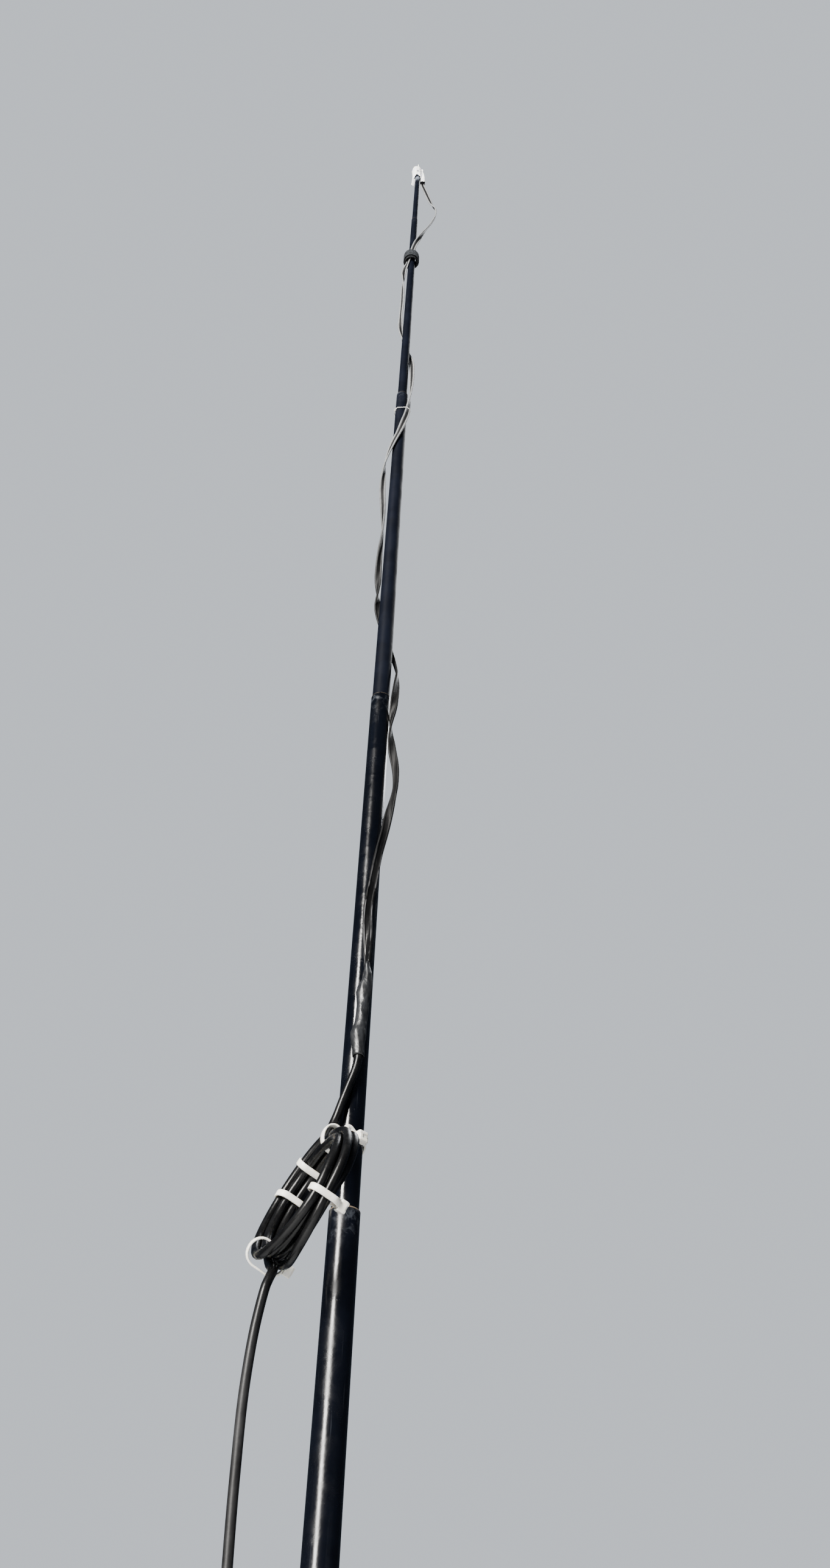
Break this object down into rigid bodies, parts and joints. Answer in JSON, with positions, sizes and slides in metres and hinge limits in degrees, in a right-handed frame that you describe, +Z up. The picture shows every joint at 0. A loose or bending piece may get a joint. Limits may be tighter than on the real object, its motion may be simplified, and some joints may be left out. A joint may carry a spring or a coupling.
{
  "type": "telescopic radio mast with wire antenna",
  "caption": "Slim telescopic glass-fibre mast with a twin-lead wire antenna wound round it, a coaxial choke tied at the feed point and a coiled feed line.",
  "frame": {"origin": "centre of the butt cap's flat bottom face, where the mast stands", "axes": "+Z up along the mast, -Y towards the viewer of the picture, +X to that viewer's right"},
  "size_m": [0.1396, 0.0932, 3.4536],
  "materials": {
    "glass_fibre": "gloss lacquer over glass fibre",
    "black_cap": "moulded",
    "white_tape": "satin tape",
    "shrink_sleeve": "satin, wrinkled",
    "lead_jacket": "satin jacket",
    "strap_fabric": "hook-and-loop weave",
    "white_thread": "twisted thread",
    "coax_jacket": "satin jacket",
    "natural_nylon": "satin, slightly translucent",
    "boot_rubber": "matt",
    "nickel": "bright nickel plate",
    "gold_pin": "plated"
  },
  "bodies": {
    "root": {"butt_cap": "black_cap", "butt_tube": "glass_fibre", "second_tube": "glass_fibre", "third_tube": "glass_fibre", "fourth_tube": "glass_fibre", "fifth_tube": "glass_fibre", "sixth_tube": "glass_fibre", "seventh_tube": "glass_fibre", "tip_tube": "glass_fibre", "tip_plug": "black_cap", "tip_wrap": "white_tape", "tip_tab": "white_tape", "lead_end_sleeve": "shrink_sleeve", "twin_lead": "lead_jacket", "wound_strap": "strap_fabric", "lead_thread": "white_thread", "feed_sleeve": "shrink_sleeve", "coax_lead": "coax_jacket", "choke_coil": "coax_jacket", "choke_tie_top": "natural_nylon", "choke_tie_far_upper": "natural_nylon", "choke_tie_far_lower": "natural_nylon", "choke_tie_near": "natural_nylon", "choke_tie_bottom": "natural_nylon", "coax_drop": "coax_jacket", "stored_coil": "coax_jacket", "stored_coil_tie": "natural_nylon", "coax_tail": "coax_jacket", "plug_boot": "boot_rubber", "plug_body": "nickel", "plug_collar": "nickel", "plug_pin": "gold_pin"}
  },
  "joints": []
}
